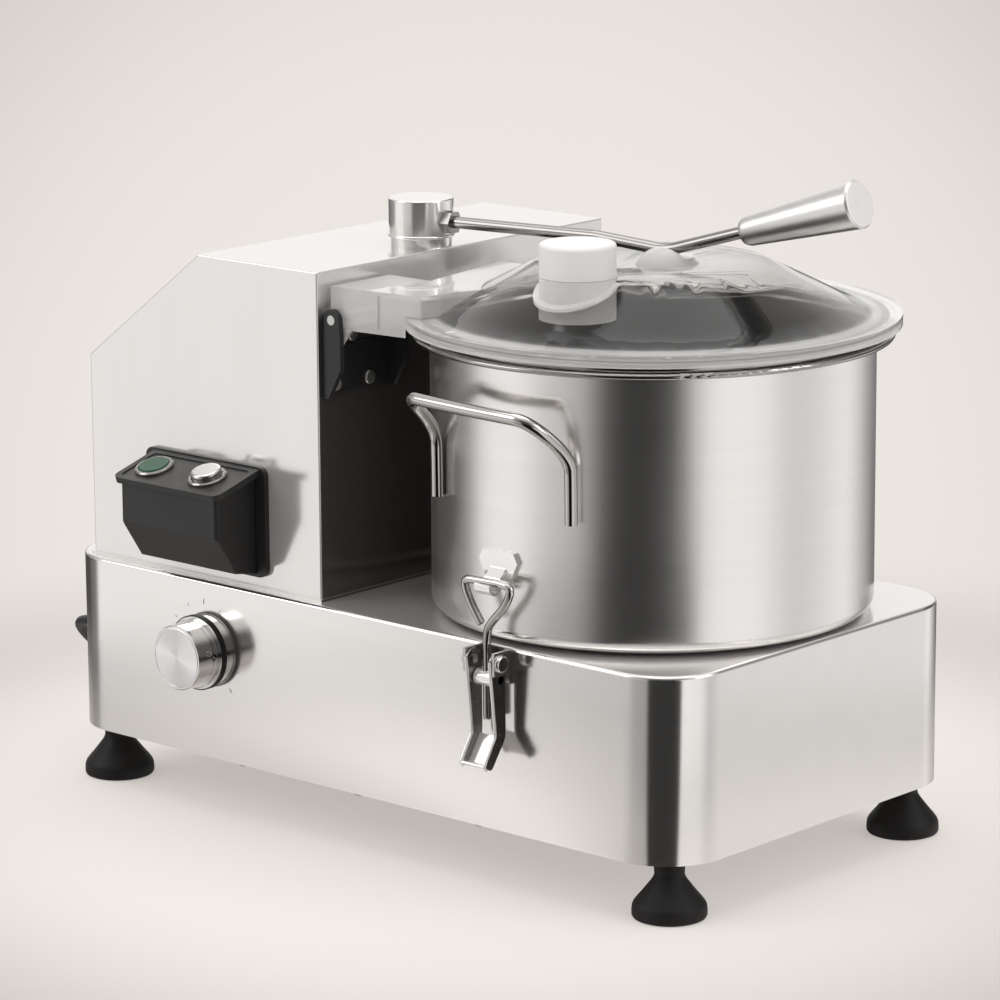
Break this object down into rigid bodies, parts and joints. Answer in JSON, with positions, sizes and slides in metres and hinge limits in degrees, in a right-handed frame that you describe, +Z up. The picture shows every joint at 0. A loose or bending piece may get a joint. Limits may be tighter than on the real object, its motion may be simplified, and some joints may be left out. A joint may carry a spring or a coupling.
{
  "type": "food processor",
  "caption": "Bench-top commercial food processor with a steel cutter bowl, clear lid with feed tube and lock lever, toggle latches and a boxed belt drive.",
  "frame": {"origin": "on the table, midway between the four feet", "axes": "+X along the long side of the base towards the bowl, -Y towards the operator, +Z up"},
  "size_m": [0.5922, 0.4338, 0.4235],
  "materials": {
    "polished_steel": "polished stainless sheet",
    "satin_steel": "satin stainless steel",
    "bowl_steel": "satin drawn stainless bowl",
    "blade_steel": "ground blade steel",
    "zinc": "bright plated fasteners",
    "chrome": "bright metal",
    "knob_metal": "turned metal with a black band",
    "cast_aluminium": "machined aluminium",
    "black_rubber": "matt rubber",
    "white_rubber": "soft white seal",
    "cord_black": "round sheathed lead and moulded plug",
    "black_plastic": "fine-textured black plastic",
    "grey_plastic": "dark grey textured plastic",
    "white_plastic": "frosted white plastic",
    "green_plastic": "dark green plastic",
    "clear_plastic": "clear moulded plastic",
    "motor_enamel": "enamelled motor case",
    "board_green": "circuit board"
  },
  "bodies": {
    "machine": {"base_shell": "polished_steel", "tower_shell": "polished_steel", "bottom_plate": "satin_steel", "rubber_feet": "black_rubber", "base_fasteners": "zinc", "bowl": "bowl_steel", "bowl_rim": "bowl_steel", "bowl_seat_ring": "black_rubber", "front_handle": "satin_steel", "rear_handle": "satin_steel", "bowl_catches": "satin_steel", "lid": "clear_plastic", "lid_arm": "clear_plastic", "lid_gasket": "white_rubber", "lid_saddle": "clear_plastic", "feed_tube": "clear_plastic", "hinge_bracket": "black_plastic", "hinge_fasteners": "zinc", "hub_base": "satin_steel", "control_plate": "black_plastic", "control_box": "black_plastic", "control_cover": "grey_plastic", "button_bezels": "chrome", "switches": "black_plastic", "dial_ring": "black_plastic", "potentiometer": "zinc", "latch_brackets": "satin_steel", "latch_rivets": "chrome", "bearing_housing": "cast_aluminium", "bearings": "zinc", "drive_belt": "black_rubber", "motor": "motor_enamel", "motor_plate": "satin_steel", "speed_board": "board_green", "run_capacitor": "cast_aluminium", "cable_gland": "black_plastic", "mains_cord": "cord_black", "cord_coil": "cord_black", "mains_plug": "cord_black"},
    "lock_lever": {"lever_hub": "satin_steel", "lever_spindle": "satin_steel", "lever_rod": "chrome", "lever_nut": "chrome", "lever_grip": "satin_steel"},
    "knob": {"speed_knob": "knob_metal", "knob_shaft": "satin_steel"},
    "start": {"start_button": "green_plastic"},
    "stop": {"stop_button": "chrome"},
    "blade_set": {"spindle": "satin_steel", "driven_pulley": "cast_aluminium", "blade_hub": "black_plastic", "blades": "blade_steel", "blade_nut": "black_plastic"},
    "rotor": {"motor_shaft": "satin_steel", "motor_pulley": "cast_aluminium"},
    "front_lever": {"front_latch_lever": "satin_steel"},
    "front_rod": {"front_latch_rod": "chrome"},
    "rear_lever": {"rear_latch_lever": "satin_steel"},
    "rear_rod": {"rear_latch_rod": "chrome"},
    "cap": {"feed_cap": "white_plastic"}
  },
  "joints": [
    {"name": "lever_swing", "type": "hinge", "parent": "machine", "child": "lock_lever", "pos_m": [-0.053, -0.013, 0.36], "axis": [0, 0, 1], "range_deg": [0, 100]},
    {"name": "speed_turn", "type": "hinge", "parent": "machine", "child": "knob", "pos_m": [-0.126, -0.141, 0.105], "axis": [0, 1, 0], "range_deg": [0, 270]},
    {"name": "start_press", "type": "slide", "parent": "machine", "child": "start", "axis": [0, 0.2773, -0.9608], "range_m": [0, 0.003], "stiffness_N_per_m": 300, "springref_m": -0.002},
    {"name": "stop_press", "type": "slide", "parent": "machine", "child": "stop", "axis": [0, 0.2773, -0.9608], "range_m": [0, 0.003], "stiffness_N_per_m": 300, "springref_m": -0.002},
    {"name": "blade_spin", "type": "hinge", "parent": "machine", "child": "blade_set", "pos_m": [0.125, 0, 0.15], "axis": [0, 0, 1], "continuous": true},
    {"name": "motor_spin", "type": "hinge", "parent": "machine", "child": "rotor", "pos_m": [-0.133, 0, 0.15], "axis": [0, 0, 1], "continuous": true},
    {"name": "front_latch_swing", "type": "hinge", "parent": "machine", "child": "front_lever", "pos_m": [0.1215, -0.1495, 0.143], "axis": [-1, 0, 0], "range_deg": [0, 65]},
    {"name": "front_rod_swing", "type": "hinge", "parent": "front_lever", "child": "front_rod", "pos_m": [0.1215, -0.1465, 0.132], "axis": [-1, 0, 0], "range_deg": [-53, 0]},
    {"name": "rear_latch_swing", "type": "hinge", "parent": "machine", "child": "rear_lever", "pos_m": [0.1215, 0.1495, 0.143], "axis": [1, 0, 0], "range_deg": [0, 65]},
    {"name": "rear_rod_swing", "type": "hinge", "parent": "rear_lever", "child": "rear_rod", "pos_m": [0.1215, 0.1465, 0.132], "axis": [1, 0, 0], "range_deg": [-53, 0]},
    {"name": "cap_lift", "type": "slide", "parent": "machine", "child": "cap", "axis": [0, 0, 1], "range_m": [0, 0.045]}
  ],
  "couplings": [
    {"joint": "motor_spin", "follows": "blade_spin", "ratio": 1.4375},
    {"joint": "front_rod_swing", "follows": "front_latch_swing", "ratio": -0.815},
    {"joint": "rear_rod_swing", "follows": "rear_latch_swing", "ratio": -0.815}
  ]
}
